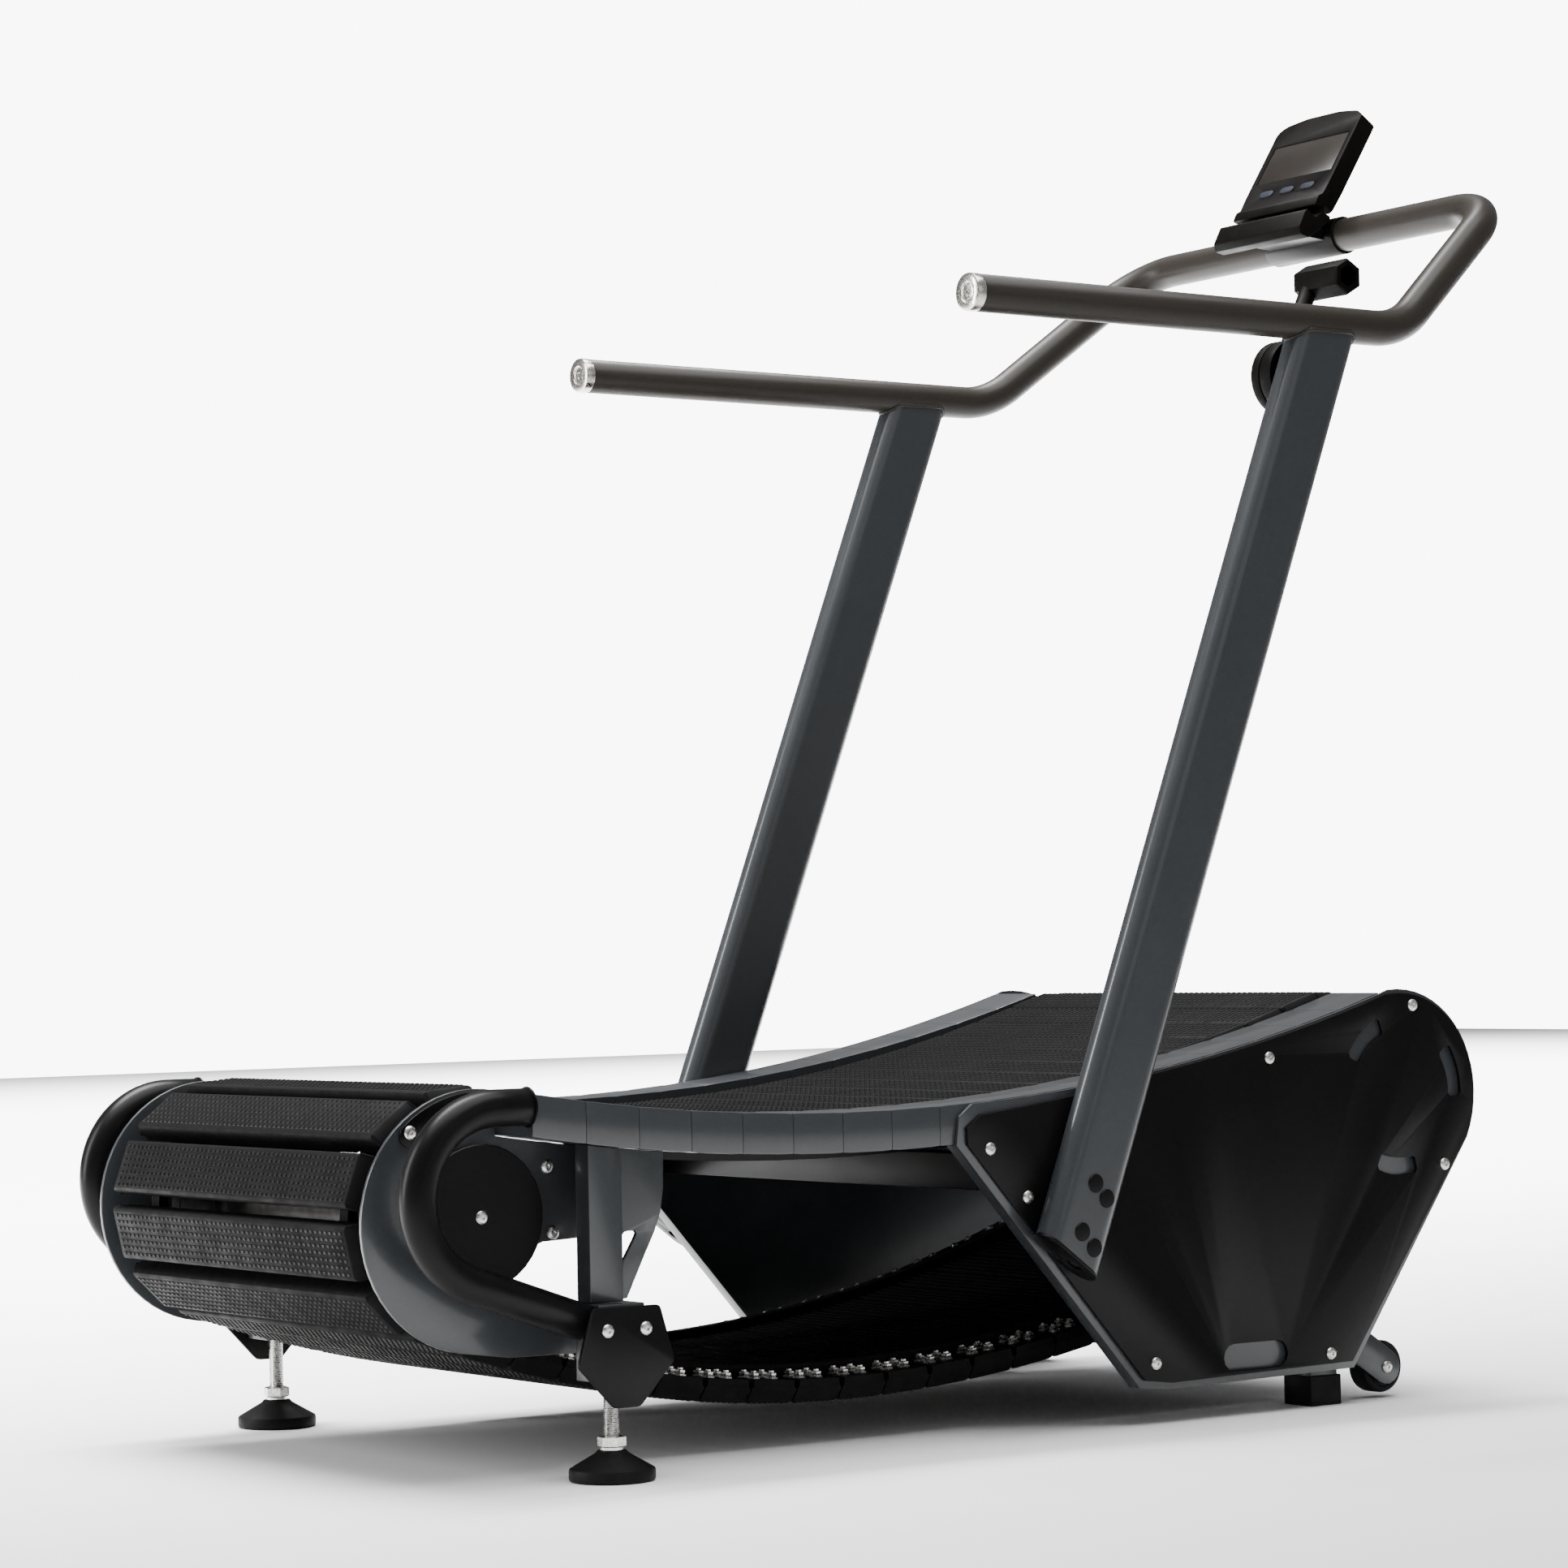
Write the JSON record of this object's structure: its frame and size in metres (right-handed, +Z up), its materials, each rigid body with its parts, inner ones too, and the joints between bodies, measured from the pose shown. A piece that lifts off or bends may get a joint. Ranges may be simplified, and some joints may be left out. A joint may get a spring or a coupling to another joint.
{
  "type": "curved manual treadmill",
  "caption": "Curved self-powered treadmill: slatted rubber belt on two drums between side rails, leaning flat-oval uprights, one-piece hand rail and a small tilting console.",
  "frame": {"origin": "centre of the bounding box on the floor", "axes": "+X forward towards the console, +Y to the runner's left, +Z up"},
  "size_m": [1.6091, 0.8086, 1.5687],
  "materials": {
    "grey_paint": "satin slate grey",
    "black_paint": "satin black",
    "bar_paint": "satin dark bronze grey",
    "steel": "bright",
    "rubber": "matt",
    "plastic": "fine grain",
    "screen": "grey liquid crystal behind a clear pane"
  },
  "bodies": {
    "frame": {"rear_beam": "grey_paint", "front_beam": "grey_paint", "rail_left": "grey_paint", "rail_right": "grey_paint", "rear_plate_left": "grey_paint", "rear_plate_right": "grey_paint", "post_left": "grey_paint", "post_right": "grey_paint", "foot_block_left": "grey_paint", "foot_block_right": "grey_paint", "gusset_left": "grey_paint", "gusset_right": "grey_paint", "side_plate_left": "grey_paint", "side_plate_right": "grey_paint", "upright_left": "grey_paint", "upright_right": "grey_paint", "leg_left": "grey_paint", "leg_right": "grey_paint", "wheel_bracket_left": "grey_paint", "wheel_bracket_right": "grey_paint", "middle_beam": "black_paint", "bar_sleeve": "black_paint", "roller_rail_left": "black_paint", "roller_rail_right": "black_paint", "drum_disc_left": "black_paint", "drum_disc_right": "black_paint", "rear_cover_left": "black_paint", "rear_cover_right": "black_paint", "guard_left": "black_paint", "guard_right": "black_paint", "foot_cover_left": "black_paint", "foot_cover_right": "black_paint", "panel_left": "black_paint", "panel_right": "black_paint", "upright_cap_left": "black_paint", "upright_cap_right": "black_paint", "handlebar": "bar_paint", "bar_end_left": "steel", "bar_end_right": "steel", "belt": "rubber", "shoe_left": "rubber", "shoe_right": "rubber", "console_tray": "plastic", "dial": "plastic"},
    "rear_drum": {"rear_drum": "steel"},
    "front_drum": {"front_drum": "steel"},
    "wheel_left": {"wheel_left": "rubber"},
    "wheel_right": {"wheel_right": "rubber"},
    "foot_left": {"foot_pad_left": "rubber", "foot_stud_left": "steel"},
    "foot_right": {"foot_pad_right": "rubber", "foot_stud_right": "steel"},
    "console_head": {"console": "plastic", "display": "screen"},
    "key_1": {"key_1": "plastic"},
    "key_2": {"key_2": "plastic"},
    "key_3": {"key_3": "plastic"},
    "lever": {"lever": "plastic"}
  },
  "joints": [
    {"name": "rear_drum_spin", "type": "hinge", "parent": "frame", "child": "rear_drum", "pos_m": [-0.677, 0, 0.266], "axis": [0, 1, 0], "continuous": true},
    {"name": "front_drum_spin", "type": "hinge", "parent": "frame", "child": "front_drum", "pos_m": [0.506, 0, 0.334], "axis": [0, 1, 0], "continuous": true},
    {"name": "wheel_left_spin", "type": "hinge", "parent": "frame", "child": "wheel_left", "pos_m": [0.517, 0.314, 0.036], "axis": [0, 1, 0], "continuous": true},
    {"name": "wheel_right_spin", "type": "hinge", "parent": "frame", "child": "wheel_right", "pos_m": [0.517, -0.314, 0.036], "axis": [0, 1, 0], "continuous": true},
    {"name": "foot_left_level", "type": "slide", "parent": "frame", "child": "foot_left", "axis": [0, 0, 1], "range_m": [-0.02, 0]},
    {"name": "foot_right_level", "type": "slide", "parent": "frame", "child": "foot_right", "axis": [0, 0, 1], "range_m": [-0.02, 0]},
    {"name": "console_tilt", "type": "hinge", "parent": "frame", "child": "console_head", "pos_m": [0.703, 0, 1.436], "axis": [0, 1, 0], "range_deg": [-8, 10]},
    {"name": "lever_turn", "type": "hinge", "parent": "frame", "child": "lever", "pos_m": [0.387, -0.329, 1.172], "axis": [0, 1, 0], "range_deg": [-80, 0]},
    {"name": "key_1_press", "type": "slide", "parent": "console_head", "child": "key_1", "axis": [0.8387, 0, -0.5446], "range_m": [0, 0.0014], "stiffness_N_per_m": 400},
    {"name": "key_2_press", "type": "slide", "parent": "console_head", "child": "key_2", "axis": [0.8387, 0, -0.5446], "range_m": [0, 0.0014], "stiffness_N_per_m": 400},
    {"name": "key_3_press", "type": "slide", "parent": "console_head", "child": "key_3", "axis": [0.8387, 0, -0.5446], "range_m": [0, 0.0014], "stiffness_N_per_m": 400}
  ],
  "couplings": [
    {"joint": "front_drum_spin", "follows": "rear_drum_spin", "ratio": 1}
  ]
}
